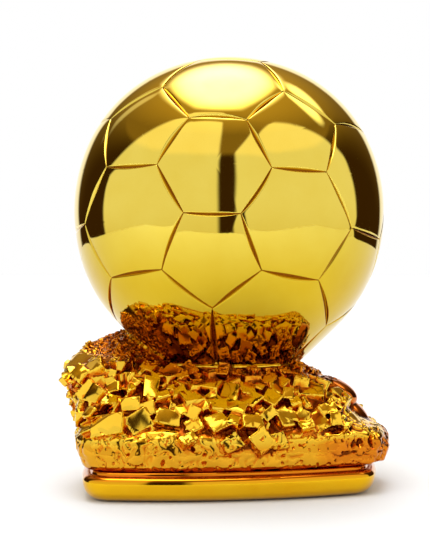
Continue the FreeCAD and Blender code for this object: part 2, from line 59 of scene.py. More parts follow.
BALL_LOW, BALL_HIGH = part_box("football_shell")
RADIUS = (BALL_HIGH[0] - BALL_LOW[0]) / 2
CENTRE = Vector((0, 0, BALL_HIGH[2] - RADIUS))
NECK = BALL_LOW[2]
SKIRT_SLOPE = math.radians(45)
ROCK_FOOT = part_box("rock_base")[0][2]
PLINTH_LOW, PLINTH_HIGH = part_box("plinth")
BOARD_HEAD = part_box("bottom_board")[1][2]


def unit(vectors):
    """Rows scaled to length 1."""
    return vectors / np.linalg.norm(vectors, axis=-1, keepdims=True)


def smooth(low, high, values):
    """0 below low, 1 above high and an even ease between."""
    share = np.clip((values - low) / (high - low), 0, 1)
    return share * share * (3 - 2 * share)


def mesh_object(name, vertices, faces, shade=True):
    """A new object from vertices and faces."""
    mesh = bpy.data.meshes.new(name)
    mesh.from_pydata([tuple(vertex) for vertex in vertices], [], faces)
    mesh.validate()
    mesh.update()
    if shade:
        mesh.shade_smooth()
    made = bpy.data.objects.new(name, mesh)
    bpy.context.scene.collection.objects.link(made)
    return made


def apply_modifiers(item):
    """Bake an object's modifiers into its mesh."""
    graph = bpy.context.evaluated_depsgraph_get()
    mesh = bpy.data.meshes.new_from_object(item.evaluated_get(graph))
    item.modifiers.clear()
    old = item.data
    item.data = mesh
    bpy.data.meshes.remove(old)


def paint(item, values):
    """Store a darker tint and painted shade on an object, 0 to 1 at each vertex, for its material.
    """
    item.data.attributes.new("tint_and_painted_shade", "FLOAT", "POINT").data.foreach_set("value", values)


def waves(points, size, seed=0.0):
    """Soft noise between -1 and 1 at each point, with features of the given size."""
    shift = Vector((seed, seed * 2.3, -seed * 1.7))
    return np.array([noise.noise(Vector(point) / size + shift) for point in points])


# ---------------------------------------------------------------- football

GOLDEN = (1 + math.sqrt(5)) / 2
SEAM_TURN = Euler([math.radians(angle) for angle in (-31.3, 4.2, 64.7)], "XYZ").to_matrix()
SEAM_STRETCH = 0.073
SEAM_SHEAR = -0.05
SQUARENESS = 0.026
EDGE_STEPS = 22
FIELD_RINGS = 13
GROOVE_SPREAD = 0.62
GROOVE_END = 0.42 * MM
GROOVE_MIDDLE = 1.45 * MM
PANEL_PUFF = 0.22 * MM
PUFF_REACH = 2.6 * MM
LUMP_HEIGHT = 0.05 * MM
LUMP_SIZE = 0.33
SEAM_BEND = 0.011
# Half a seam's section: distance from its middle and how far down, as shares of its size; how far
# down also sets the painted shade there.
SEAM_PROFILE = [(1.35, 0.0), (1.12, 0.015), (0.9, 0.11), (0.5, 0.5), (0.14, 0.88), (0.0, 0.95)]


def cyclic_signed(bases):
    """Every cyclic order of every base with every choice of signs."""
    found = set()
    for base in bases:
        for shift in range(3):
            for signs in range(8):
                order = base[shift:] + base[:shift]
                found.add(tuple(value * (-1 if signs >> place & 1 else 1) + 0.0
                                for place, value in enumerate(order)))
    return unit(np.array(sorted(found)))


def carved(directions):
    """Directions of the even pattern as they lie on this ball: turned, stretched, leaning."""
    turned = directions @ np.array(SEAM_TURN).T
    x, y, z = turned.T
    return unit(np.stack([x * (1 - SEAM_STRETCH), y * (1 + 2 * SEAM_STRETCH) + z * SEAM_SHEAR,
                          z * (1 - SEAM_STRETCH) + y * SEAM_SHEAR], axis=1))


def ball_radius(directions):
    """Distance from the ball's centre to its plain outside, in each direction."""
    squareness = SQUARENESS * (1 - (directions ** 4).sum(axis=-1))
    down = np.arcsin(np.clip(-directions[..., 2], -1, 1))
    reach = RADIUS * (1 + squareness) / np.cos(np.clip(down - SKIRT_SLOPE, 0, None))
    floor = (CENTRE.z - NECK) / np.clip(np.sin(down), 1e-6, None)
    return np.where(down > 0, np.minimum(reach, floor), reach)


def panels():
    """The 32 panels, each as its corners' numbers in order."""
    corners = cyclic_signed([(0, 1, 3 * GOLDEN), (1, 2 + GOLDEN, 2 * GOLDEN),
                             (GOLDEN, 2, 2 * GOLDEN + 1)])
    pentagons = cyclic_signed([(0, 1, GOLDEN)])
    hexagons = np.vstack([cyclic_signed([(1, 1, 1)]), cyclic_signed([(0, GOLDEN, 1 / GOLDEN)])])
    found = []
    for centres, count in ((pentagons, 5), (hexagons, 6)):
        for centre in centres:
            nearest = np.argsort(-(corners @ centre))[:count]
            across = np.cross(centre, corners[nearest[0]])
            over = np.cross(across, centre)
            angles = np.arctan2(corners[nearest] @ across, corners[nearest] @ over)
            found.append([int(number) for number in nearest[np.argsort(angles)]])
    return carved(corners), found


def groove_depth(points, share):
    """Depth of a seam: deep in the middle, shallow at the corners, a little uneven."""
    hand = 1 + 0.25 * waves(points, 0.16, 3.0)
    return (GROOVE_END + (GROOVE_MIDDLE - GROOVE_END) * 4 * share * (1 - share)) * hand


def seam_line(first, last, here, there):
    """Directions along a seam, the same from either side, with a hand carver's slight bend."""
    share = np.linspace(0, 1, EDGE_STEPS + 1)
    line = unit(first[None] * (1 - share[:, None]) + last[None] * share[:, None])
    low, high = min(here, there), max(here, there)
    bend = SEAM_BEND * math.sin(low * 12.9 + high * 78.2)
    sideways = unit(np.cross(first, last)) * (1 if here < there else -1)
    return unit(line + sideways * (bend * 4 * share * (1 - share))[:, None]), share


def panel_rings(middle, border, depth):
    """Rings of points from near a panel's middle down into its seams, with how much painted shade
    each gets.
    """
    reach = np.arccos(np.clip(border @ middle, -1, 1)) * RADIUS
    width = depth * GROOVE_SPREAD
    rings = []
    for step in range(1, FIELD_RINGS + 1):
        share = 1 - (1 - step / FIELD_RINGS) ** 1.7
        rings.append(((reach - SEAM_PROFILE[0][0] * width) * share, 0 * depth, 0.0))
    for spread, sunk in SEAM_PROFILE[1:]:
        rings.append((reach - spread * width, depth * sunk, sunk))
    across = unit(border - (border @ middle)[:, None] * middle)
    for along, sunk, dark in rings:
        angle = along / RADIUS
        directions = middle * np.cos(angle)[:, None] + across * np.sin(angle)[:, None]
        directions = np.where((along >= reach)[:, None], border, directions)
        puff = PANEL_PUFF * np.exp(-(reach - along) / PUFF_REACH)
        lumps = LUMP_HEIGHT * waves(directions, LUMP_SIZE, 1.0)
        out = ball_radius(directions) - sunk - puff + lumps
        sits = CENTRE.z + directions[:, 2] * out < NECK
        out = np.where(sits, (NECK - CENTRE.z) / np.minimum(directions[:, 2], -1e-6), out)
        yield np.array(CENTRE) + directions * out[:, None], dark


def panel_tip(middle):
    """The point in the middle of a panel."""
    if middle[2] < -0.9:
        return np.array(CENTRE) + middle * (NECK - CENTRE.z) / middle[2]
    lift = LUMP_HEIGHT * waves(middle[None], LUMP_SIZE, 1.0)[0]
    return np.array(CENTRE) + middle * (ball_radius(middle[None])[0] + lift)


def football():
    """The ball: every panel a slightly puffed field that falls into V-shaped seams."""
    corners, found = panels()
    vertices, faces, known, painted = [], [], {}, []

    def add(point, dark=0.0):
        key = tuple(np.round(point / 1e-7).astype(int))
        if key not in known:
            known[key] = len(vertices)
            vertices.append(point)
            painted.append(dark)
        return known[key]

    for panel in found:
        middle = unit(corners[panel].mean(axis=0))
        border, depth = [], []
        for here, there in zip(panel, panel[1:] + panel[:1]):
            line, share = seam_line(corners[here], corners[there], here, there)
            border.append(line[:-1])
            depth.append(groove_depth(line, share)[:-1])
        border, depth = np.vstack(border), np.concatenate(depth)
        grid = [[add(point, dark) for point in points]
                for points, dark in panel_rings(middle, border, depth)]
        tip = add(panel_tip(middle))
        for place in range(len(border)):
            after = (place + 1) % len(border)
            faces.append((tip, grid[0][place], grid[0][after]))
            for inner, outer in zip(grid, grid[1:]):
                faces.append((inner[place], outer[place], outer[after], inner[after]))
    faces = [face for face in faces if len(set(face)) == len(face)]
    made = mesh_object("football_skin", vertices, faces)
    # Painted shade in the seams, deeper towards their bottom.
    paint(made, painted)
    return made


# ---------------------------------------------------------------- plinth

PLINTH_ARCS = [(-96, 188), (-66, 13), (-12, 125), (14, 34), (66, None), (114, 34),
               (168, None), (189, 12)]
PLINTH_START = np.array([-46.2, -64.4])
PLINTH_COLUMNS = 360
# The plinth's section in mm: its widest level, the rounded side's and the shoulder's insets,
# and the lip's points as inset and level.
WIDEST_LEVEL = 7.3
SIDE_INSET = 6.1
SHOULDER_INSET = 3.4
SHOULDER_RISE = 2.9
LIP = [(2.65, 10.06), (3.0, 10.0), (3.3, 10.05), (3.5, 10.25), (3.6, 10.75), (3.75, 11.05)]
WINDOW_RADIUS = 36
RECESS_INSET = 9.5
SWAY = 0.12


def facing(degrees):
    """The unit vector in the plan at an angle in degrees."""
    return np.array([math.cos(math.radians(degrees)), math.sin(math.radians(degrees))])


@functools.cache
def plinth_outline(count):
    """Points evenly along the plinth's widest line, and the way it faces at each."""
    lasts = [first for first, radius in PLINTH_ARCS[1:]] + [PLINTH_ARCS[0][0] + 360]
    spans = [(first, last, radius) for (first, radius), last in zip(PLINTH_ARCS, lasts)]
    closing = [facing(last) - facing(first) for first, last, radius in spans if radius is None]
    given = sum((facing(last) - facing(first)) * radius for first, last, radius in spans if radius)
    solved = list(np.linalg.solve(np.array(closing).T, -given))
    place = PLINTH_START
    points, ways = [], []
    for first, last, radius in spans:
        if radius is None:
            radius = solved.pop(0)
        centre = place - facing(first) * radius
        for degrees in np.linspace(first, last, 90)[:-1]:
            points.append(centre + facing(degrees) * radius)
            ways.append(degrees)
        place = centre + facing(last) * radius
    points, ways = np.array(points + points[:1]), np.array(ways + [ways[0] + 360])
    run = np.concatenate([[0], np.cumsum(np.linalg.norm(np.diff(points, axis=0), axis=1))])
    at = np.linspace(0, run[-1], count + 1)[:-1]
    even = np.stack([np.interp(at, run, points[:, axis]) for axis in (0, 1)], axis=1)
    turn = np.radians(np.interp(at, run, ways))
    return even * MM, np.stack([np.cos(turn), np.sin(turn)], axis=1)


def plinth_casting():
    """The bullnose ring: lip, cove, rounded side, rim, recess for the board and round window."""
    points, ways = plinth_outline(PLINTH_COLUMNS)
    low, high = PLINTH_LOW[2] / MM, PLINTH_HIGH[2] / MM
    profile = []
    for turn in (math.radians(degrees) for degrees in range(90, 0, -9)):
        profile.append((SIDE_INSET * (1 - math.cos(turn)),
                        WIDEST_LEVEL - (WIDEST_LEVEL - low) * math.sin(turn)))
    for turn in (math.radians(degrees) for degrees in range(0, 73, 9)):
        profile.append((SHOULDER_INSET * (1 - math.cos(turn)),
                        WIDEST_LEVEL + SHOULDER_RISE * math.sin(turn)))
    profile += LIP + [(4.1, high), (5.2, high)]
    steps = []
    for inset, level in profile:
        sway = SWAY * MM * waves(np.c_[points, np.full(len(points), level * MM)], 0.03, 5.0)
        ring = points - ways * (inset * MM - sway[:, None] * (0.3 < inset < 5))
        steps.append(np.c_[ring, np.full(len(points), level * MM)])
    flat = unit(points)
    window = WINDOW_RADIUS * MM
    recess = points - ways * RECESS_INSET * MM
    for level, ring in ((high, flat * window), (BOARD_HEAD / MM, flat * window),
                        (BOARD_HEAD / MM, recess), (low, recess)):
        steps.append(np.c_[ring, np.full(len(points), level * MM)])
    count = len(points)
    vertices = np.vstack(steps)
    faces = []
    for ring in range(len(steps)):
        after = (ring + 1) % len(steps)
        for place in range(count):
            beside = (place + 1) % count
            faces.append((ring * count + place, ring * count + beside,
                          after * count + beside, after * count + place))
    made = mesh_object("plinth_casting", vertices, faces)
    heights = vertices[:, 2] / MM
    cove = smooth(9.2, 9.9, heights) * (1 - smooth(10.1, 10.8, heights))
    # Painted shade: darker from the widest line up over the shoulder and top, and in the cove
    # under the lip.
    paint(made, 0.42 * smooth(6.6, 9.6, heights) + 0.45 * cove)
    sharp_edges(made, 40)
    return made


def sharp_edges(item, degrees):
    """Mark edges sharper than an angle, so that flat and round areas shade cleanly."""
    item.data.set_sharp_from_angle(angle=math.radians(degrees))


# ---------------------------------------------------------------- rock

# Courses of the mound in mm: height, then reach to the left, right, front and back.
COURSES = [(11.3, 58.5, 58.0, 59.0, 45.0), (13.0, 60.4, 64.0, 61.0, 47.0),
           (18.0, 62.4, 65.0, 61.5, 48.0), (25.0, 63.4, 62.6, 60.5, 47.5),
           (30.0, 63.4, 55.5, 58.0, 46.0), (36.0, 62.4, 49.0, 53.0, 43.5),
           (41.0, 60.4, 42.5, 46.5, 40.0), (45.0, 55.0, 34.5, 38.5, 36.0),
           (47.5, 46.0, 29.5, 32.0, 31.5), (49.0, 38.0, 28.0, 29.0, 29.0)]
CRYSTAL_BED = 3.3
ROCK_SEED = 11
ROCK_COLUMNS = 96
ROCK_TRIANGLES = 190000


def skin(columns, heights, bed):
    """Points on the mound in mm, at shares of the way round and heights, sunk by the bed."""
    outline = np.vstack([plinth_outline(ROCK_COLUMNS)[0] / MM] * 2)[:ROCK_COLUMNS + 1]
    levels = np.array(COURSES)
    widest, back = np.abs(outline).max(axis=0), outline[:, 1].max()
    at = np.mod(columns, 1.0) * ROCK_COLUMNS
    x, y = (np.interp(at, range(ROCK_COLUMNS + 1), outline[:, axis]) for axis in (0, 1))
    sunk = bed * smooth(22.5, 29.0, heights) * (1 - smooth(44.0, 48.0, heights))
    left, right, front, rear = (np.interp(heights, levels[:, 0], levels[:, column]) - sunk
                                for column in (1, 2, 3, 4))
    return np.stack([x * np.where(x < 0, left, right) / widest[0],
                     y * np.where(y < 0, front / widest[1], rear / back),
                     heights + 0.0 * x], axis=-1)


def mound():
    """The rock's plain body: courses in a stack, sunk where crystals stand on it."""
    count = ROCK_COLUMNS
    columns = np.arange(count) / count
    heights = np.concatenate([[row[0] for row in COURSES[:3]], np.arange(20.0, 48.5, 1.5),
                              [COURSES[-1][0]]])
    vertices = np.vstack([skin(columns, np.full(count, height), CRYSTAL_BED)
                          for height in heights])
    faces = []
    for ring in range(len(heights) - 1):
        for place in range(count):
            beside = (place + 1) % count
            faces.append((ring * count + place, ring * count + beside,
                          (ring + 1) * count + beside, (ring + 1) * count + place))
    faces.append(tuple(reversed(range(count))))
    faces.append(tuple((len(heights) - 1) * count + place for place in range(count)))
    return vertices, faces


def block(centre, edges, turn, taper, dice):
    """A cube crystal: eight corners, slightly tapered and knocked out of true, in mm."""
    half = np.array(edges) / 2
    corners = []
    for z in (-1, 1):
        for x, y in ((-1, -1), (1, -1), (1, 1), (-1, 1)):
            shrink = 1 - taper * (z > 0)
            knock = np.array([dice.uniform(-0.17, 0.17) for axis in range(2)] + [0])
            corners.append((np.array([x * shrink, y * shrink, z]) + knock) * half)
    spun = np.array(corners) @ np.array(turn).T + np.array(centre)
    faces = [(0, 3, 2, 1), (4, 5, 6, 7), (0, 1, 5, 4), (1, 2, 6, 5), (2, 3, 7, 6), (3, 0, 4, 7)]
    return spun, faces


def upright(normal):
    """A rotation whose Z is the normal and whose Y points as nearly up as it can."""
    z_axis = Vector(normal).normalized()
    x_axis = Vector((0, 0, 1)).cross(z_axis).normalized()
    return Matrix((x_axis, z_axis.cross(x_axis), z_axis)).transposed()


def crystal(site, width, tall, spin, sideways, upwards, proud, dice):
    """A block set into the rock's body, its outer face turned and tilted as asked."""
    place, normal = site
    tilt = Euler((math.radians(-upwards), math.radians(sideways), math.radians(spin))).to_matrix()
    thick = 0.9 * (width + tall) / 2 + CRYSTAL_BED
    centre = place + normal * (proud - thick / 2)
    return block(centre, (width, tall, thick), upright(normal) @ tilt, dice.uniform(0, 0.16), dice)


# The larger crystals of the front, listed one by one, in mm and degrees:
# place across, height, width, height of the face, spin, tilt sideways, tilt upwards.
FRONT_CRYSTALS = [
    (-52, 38.6, 8.5, 8.0, -8, 4, 4), (-53, 48.0, 9.5, 8.5, 38, -6, 8),
    (-46.5, 43.6, 5.5, 5.5, 20, 8, 2), (-46.5, 28.0, 13.5, 8.5, 14, 2, 6),
    (-38, 35.3, 8.0, 6.0, 8, -4, 5), (-35.5, 29.6, 9.0, 8.0, 27, 6, 2),
    (-30.5, 33.6, 6.5, 6.5, 15, -8, 8), (-31, 41.0, 6.5, 11.0, -4, 3, 5),
    (-37.5, 42.0, 6.0, 5.5, 44, -10, 8), (-25, 30.4, 11.0, 8.0, -10, 4, 5),
    (-24.5, 43.5, 6.5, 6.5, 40, 10, 16), (-25.5, 37.6, 5.5, 4.5, 12, -8, 10),
    (-18.5, 33.0, 6.5, 6.0, 30, 6, 3), (-13.3, 27.8, 6.5, 6.5, 20, -5, 6),
    (-16.7, 23.0, 6.5, 4.6, 30, 8, 4), (-5.5, 28.0, 9.0, 7.5, 25, 3, 4),
    (-9.7, 34.0, 5.5, 5.0, 5, -12, 9), (-14, 41.0, 7.0, 6.5, 15, 7, 14),
    (2.0, 33.5, 9.5, 6.5, -20, -4, 8), (7.3, 28.3, 9.5, 6.5, -5, 5, 3),
    (1.0, 22.4, 8.5, 6.5, 32, -7, 5), (11.5, 22.3, 7.5, 8.5, 36, 6, 6),
    (19, 22.5, 6.0, 6.0, 12, -12, 4), (19.4, 29.4, 6.0, 8.5, 20, 12, 2),
    (16.8, 36.5, 7.5, 7.5, 45, -6, 10), (24, 30.2, 7.5, 5.5, -18, 4, 9),
    (29.8, 26.3, 6.5, 4.6, 10, -6, 5), (8, 43.0, 7.5, 7.0, 10, 5, 20),
    (1.8, 42.2, 6.0, 6.0, 30, -9, 18), (-6.5, 45.0, 8.0, 6.0, 24, 6, 26),
    (-59, 45.5, 7.0, 6.5, -20, 6, 10), (36, 32.0, 6.0, 5.0, 25, 9, 12),
]
# Corners of the shoulder boulder on the left, in mm.
SHOULDER = [(-67.4, -22, 48.6), (-65.8, -31, 44.0), (-66.6, -12, 51.0), (-60.8, -4, 56.6),
            (-56.0, 5, 58.2), (-51.0, 6, 60.4), (-46.2, 6, 62.8), (-40.0, 4, 63.6),
            (-59.5, -27, 43.0), (-54.5, -34, 47.0), (-48.0, -38, 47.5), (-41.0, -40, 47.0),
            (-60.0, -24, 20.0), (-45.0, -46, 20.0), (-60.0, 12, 20.0), (-40.0, 38, 20.0),
            (-49.0, 32, 46.0), (-58.0, 20, 50.0), (-39.0, 36, 46.0), (-30.0, -20, 30.0),
            (-30.0, -28, 49.0), (-21.0, -31, 46.5), (-24.0, 10, 50.0)]
# Smooth boulders: centre, reach along X, Y and Z in mm, and tilt in the picture plane.
KNOBS = [((43.0, -15, 38.1), (10.6, 9.5, 5.6), 22), ((51.8, -12, 27.8), (9.2, 10, 5.0), 48),
         ((24.0, -27, 40.5), (7.0, 6.5, 5.5), 15), ((62.8, -9, 18.5), (4.2, 13, 5.6), 0)]


def hull(points):
    """The convex solid round some points."""
    made = bmesh.new()
    for point in points:
        made.verts.new(point)
    found = bmesh.ops.convex_hull(made, input=made.verts)
    spare = [vertex for vertex in made.verts if not vertex.link_faces
             or vertex in found["geom_interior"]]
    bmesh.ops.delete(made, geom=spare, context="VERTS")
    made.verts.index_update()
    solid = ([tuple(vertex.co) for vertex in made.verts],
             [tuple(vertex.index for vertex in face.verts) for face in made.faces])
    made.free()
    return solid


def ellipsoid(centre, reach, tilt):
    """A smooth boulder in mm, tilted about Y."""
    made = bmesh.new()
    bmesh.ops.create_icosphere(made, subdivisions=4, radius=1.0)
    vertices = np.array([vertex.co for vertex in made.verts]) * reach
    faces = [tuple(vertex.index for vertex in face.verts) for face in made.faces]
    made.free()
    turn = np.array(Matrix.Rotation(math.radians(tilt), 3, "Y"))
    return vertices @ turn.T + np.array(centre), faces


def surface(solids):
    """A tree of all faces of some solids, to look for their outside."""
    vertices, faces = [], []
    for points, sides in solids:
        faces += [tuple(corner + len(vertices) for corner in side) for side in sides]
        vertices += [tuple(point) for point in points]
    return BVHTree.FromPolygons(vertices, faces)


def outside(tree, start, way):
    """Where a line from outside first meets the rock's body, and the outward normal there."""
    place, normal, face, distance = tree.ray_cast(Vector(start), Vector(way))
    if place is None:
        return None
    return np.array(place), np.array(-normal if normal.dot(Vector(way)) > 0 else normal)


def scattered(dice, tree, taken, tries, sizes, room, allowed):
    """Sites for crystals all over the body that keep clear of those already taken."""
    levels = np.array(COURSES)
    run = np.concatenate([[0], np.cumsum(np.hypot(*np.diff(levels[:, [0, 3]], axis=0).T))])
    found = []
    for step in range(tries):
        way, share, size = facing(dice.uniform(0, 360)), dice.random(), dice.uniform(*sizes)
        height = float(np.interp(run[3] + 2 + share * (run[-1] - run[3] - 3), run, levels[:, 0]))
        if dice.random() < 0.25:
            height = dice.uniform(30, 62)
        site = outside(tree, (*(way * 200), height), (*-way, 0))
        if site is None or not allowed(site[0]):
            continue
        if any(np.linalg.norm(site[0] - other) < room * (size + wide) / 2
               for other, wide in taken):
            continue
        taken.append((site[0], size))
        found.append((site, size))
    return found


def gap_to_ball(points):
    """How far points in mm are from the plain outside of the ball, in mm."""
    away = np.atleast_2d(points) - np.array(CENTRE) / MM
    far = np.linalg.norm(away, axis=1)
    return far - ball_radius(away / far[:, None]) / MM


def rock_solids():
    """Everything that makes up the rock, in mm, as separate closed solids."""
    dice = random.Random(ROCK_SEED)
    solids = [mound(), hull(SHOULDER)]
    tree = surface(solids)
    taken = []
    for across, height, width, tall, spin, sideways, upwards in FRONT_CRYSTALS:
        site = outside(tree, (across, -200, height), (0, 1, 0))
        if abs(across) < 30:
            sideways += math.copysign(4, sideways)
        else:
            site = (site[0], unit(site[1] * np.array([1, 1, 0.4])))
        proud = CRYSTAL_BED - 0.2 + dice.uniform(-0.6, 0.8)
        solids.append(crystal(site, width, tall, spin, sideways, upwards, proud, dice))
        taken.append((site[0], (width + tall) / 2))

    def crystalline(point):
        return (-68 < point[0] < (46 if point[1] < 5 else 60) and gap_to_ball(point)[0] > 4
                and near_knobs(point[None] * MM)[0] == 0)

    coarse = scattered(dice, tree, taken, 2200, (5.0, 9.5), 0.76,
                       lambda point: crystalline(point) and point[2] < 50 and point[0] > -58)
    for site, size in coarse:
        solids.append(crystal(site, size, size * dice.uniform(0.7, 1.1), dice.uniform(0, 90),
                              dice.choice((-1, 1)) * dice.uniform(5, 17), dice.uniform(-8, 20),
                              CRYSTAL_BED + dice.uniform(-1.4, 0.9), dice))
    fine = scattered(dice, tree, taken, 2200, (1.8, 4.2), 0.75, crystalline)
    for site, size in fine:
        solids.append(crystal(site, size, size * dice.uniform(0.7, 1.3),
                              dice.uniform(0, 90), dice.uniform(-28, 28), dice.uniform(-20, 34),
                              CRYSTAL_BED + dice.uniform(-2.9, -1.1), dice))
    return solids + [ellipsoid(*row) for row in KNOBS]


def joined(name, solids):
    """One object from many closed solids given in mm."""
    vertices, faces, base = [], [], 0
    for points, sides in solids:
        vertices.append(np.array(points) * MM)
        faces += [tuple(corner + base for corner in side) for side in sides]
        base += len(points)
    return mesh_object(name, np.vstack(vertices), faces, shade=False)


def coordinates(item):
    """An object's vertices as rows."""
    flat = np.empty(len(item.data.vertices) * 3)
    item.data.vertices.foreach_get("co", flat)
    return flat.reshape(-1, 3)


def normals(item):
    """An object's vertex normals as rows."""
    flat = np.empty(len(item.data.vertices) * 3)
    item.data.vertices.foreach_get("normal", flat)
    return flat.reshape(-1, 3)


def set_coordinates(item, rows):
    """Put rows back as an object's vertices."""
    item.data.vertices.foreach_set("co", rows.ravel())
    item.data.update()


# The deep crack that parts the left-hand block from the rest: place across and height, mm.
CRACK_WIDTH = 1.15
CRACK = [(-38.5, 53), (-41.5, 47), (-41.5, 41), (-46, 35.5), (-53, 30.5), (-60, 27)]


def crack_depth(points):
    """How deep the crack is at each point, 0 to 1."""
    plan = np.stack([points[:, 0], points[:, 2]], axis=1) / MM
    nearest = np.full(len(points), 1e9)
    for start, end in zip(CRACK, CRACK[1:]):
        start, along = np.array(start), np.array(end) - np.array(start)
        share = np.clip(((plan - start) @ along) / (along @ along), 0, 1)
        gap = np.linalg.norm(plan - start - share[:, None] * along, axis=1)
        nearest = np.minimum(nearest, gap)
    return np.exp(-(nearest / CRACK_WIDTH) ** 2) * (points[:, 1] < -10 * MM)


def near_knobs(points):
    """1 on the two smooth boulders of the right-hand side, 0 away from them."""
    nearest = np.full(len(points), 9.0)
    for centre, reach, tilt in KNOBS[:2]:
        turn = np.array(Matrix.Rotation(math.radians(tilt), 3, "Y"))
        local = (points / MM - np.array(centre)) @ turn / np.array(reach)
        nearest = np.minimum(nearest, np.linalg.norm(local, axis=1))
    return 1 - smooth(1.05, 1.25, nearest)


def weathered(points, outward):
    """The rock's skin with its lumps, wrinkles and pits."""
    height, across = points[:, 2] / MM, points[:, 0] / MM
    foot = 1 - smooth(25, 28.5, height + 1.8 * waves(points, 0.008, 2.0))
    right = smooth(38, 47, across) * (points[:, 1] < 8 * MM)
    crumbly = right * (1 - near_knobs(points))
    crumbly = np.maximum(crumbly, smooth(59, 61.5, -across) * (1 - smooth(44, 48, height)))
    roof = smooth(51, 54, height + 0.1 * (across + 45))
    edge_fade = smooth(ROCK_FOOT / MM, ROCK_FOOT / MM + 1.5, height)
    lumps = waves(points, 0.0075, 4.0)
    bent = points + 0.0016 * np.stack([waves(points, 0.006, 11.0), waves(points, 0.006, 12.0),
                                       waves(points, 0.006, 13.0)], axis=1)
    worms = np.clip(1 - np.abs(waves(bent, 0.0040, 6.0)) * 5.0, 0, 1)
    worms *= 0.4 + 0.6 * smooth(-0.25, 0.1, waves(points, 0.009, 14.0))
    pits = np.clip(waves(points, 0.0019, 8.0) - 0.34, 0, None)
    holes = np.clip(waves(points * np.array([1, 1, 0.6]), 0.0026, 15.0) - 0.22, 0, None)
    grit = waves(points, 0.0011, 9.0)
    push = foot * (0.70 * lumps - 0.42 * worms - 2.6 * pits)
    push += crumbly * (0.8 * lumps - 0.35 * worms - 4.2 * holes)
    push += roof * (0.75 * grit - 0.45 * worms - 2.0 * pits)
    push += (1 - foot) * 0.05 * lumps
    moved = points + outward * (push * edge_fade * MM)[:, None]
    return moved + np.array([0, 1, 0]) * (2.6 * MM * crack_depth(points))[:, None]


def seated(points):
    """Points kept out of the ball, which rests in the rock, and above the rock's foot."""
    away = points - np.array(CENTRE)
    far = np.linalg.norm(away, axis=1)
    directions = away / far[:, None]
    limit = ball_radius(directions) - 0.12 * MM
    inside = far < limit
    points = np.where(inside[:, None], np.array(CENTRE) + directions * limit[:, None], points)
    points[:, 2] = np.maximum(points[:, 2], ROCK_FOOT)
    return points


def smoothed(item, stages):
    """An object's vertices after each number of averaging passes over their neighbours."""
    edges = np.empty(len(item.data.edges) * 2, dtype=int)
    item.data.edges.foreach_get("vertices", edges)
    first, second = edges.reshape(-1, 2).T
    even = coordinates(item)
    count = len(even)
    beside = np.bincount(first, minlength=count) + np.bincount(second, minlength=count)
    beside = np.maximum(beside, 1)
    for step in range(1, max(stages) + 1):
        even = np.stack([(np.bincount(first, even[second, axis], count)
                          + np.bincount(second, even[first, axis], count)) / beside
                         for axis in range(3)], axis=1)
        if step in stages:
            yield even


def tint_and_painted_shade(item):
    """Paint a darker red-brown tint in crevices and pits, over the foot and towards the right-hand
    side; a painted reflection that darkens the knobs; and painted shade under the ball.
    """
    points, outward = coordinates(item), normals(item)
    narrow, broad = (((even - points) * outward).sum(axis=1) / MM
                     for even in smoothed(item, (10, 60)))
    height, across = points[:, 2] / MM, points[:, 0] / MM
    gap = gap_to_ball(points / MM)
    crystalline = smooth(20.0, 25.0, height)
    deep = np.maximum(smooth(0.04, 0.24, narrow) * (0.35 + 0.35 * crystalline),
                      smooth(0.20, 0.95, broad))
    deep += 0.26 * (1 - crystalline)
    deep *= 1 + 1.3 * smooth(32, 42, across)
    # Painted reflection: the knobs darkened as if they mirrored dark surroundings.
    deep += 0.68 * near_knobs(points)
    # Painted shade under the ball, fading with the gap to it and weaker on bulges.
    shade = 0.68 * (1 - smooth(3.0, 20.0, gap)) + 0.22 * (1 - smooth(13.0, 28.0, gap))
    shade *= 1 - 0.5 * smooth(0.1, 0.5, -broad)
    # Painted highlight: no darkening within about a millimetre of the ball, which leaves a bright
    # gold line along the contact.
    paint(item, np.clip(deep + shade, 0, 1) * smooth(0.35, 1.1, gap))


def rock():
    """The craggy base: closed solids melted together, weathered and seated round the ball."""
    made = joined("rock_casting", rock_solids())
    melt = made.modifiers.new("melt", "REMESH")
    melt.mode = "VOXEL"
    melt.voxel_size = 0.40 * MM
    apply_modifiers(made)
    set_coordinates(made, seated(weathered(coordinates(made), normals(made))))
    lean = made.modifiers.new("lean", "DECIMATE")
    lean.ratio = min(1.0, ROCK_TRIANGLES / (2 * len(made.data.polygons)))
    apply_modifiers(made)
    tint_and_painted_shade(made)
    made.data.shade_smooth()
    sharp_edges(made, 38)
    return made


# ---------------------------------------------------------------- bead round the neck

def bead():
    """The adhesive bead between ball and rock: an uneven ring."""
    major, minor = 29.6 * MM, 0.85 * MM
    vertices, faces = [], []
    around, section = 240, 12
    for step in range(around):
        turn = 2 * math.pi * step / around
        way = Vector((math.cos(turn), math.sin(turn), 0))
        thick = minor * (1 + 0.35 * noise.noise(way * 6) + 0.2 * noise.noise(way * 17))
        lift = 0.35 * MM * noise.noise(way * 3 + Vector((4, 0, 0)))
        for part in range(section):
            angle = 2 * math.pi * part / section
            out = major + thick * 1.35 * math.cos(angle)
            vertices.append((way.x * out, way.y * out,
                             NECK + 0.5 * MM + lift + thick * math.sin(angle)))
    for step in range(around):
        for part in range(section):
            after, beside = (step + 1) % around, (part + 1) % section
            faces.append((step * section + part, after * section + part,
                          after * section + beside, step * section + beside))
    return mesh_object("neck_bead_ring", vertices, faces)


# ---------------------------------------------------------------- materials

def material(name, colour, metallic, roughness):
    """A Principled material with its main values set."""
    made = bpy.data.materials.new(name)
    made.use_nodes = True
    shader = made.node_tree.nodes["Principled BSDF"]
    shader.inputs["Base Color"].default_value = (*colour, 1)
    shader.inputs["Metallic"].default_value = metallic
    shader.inputs["Roughness"].default_value = roughness
    return made, made.node_tree, shader


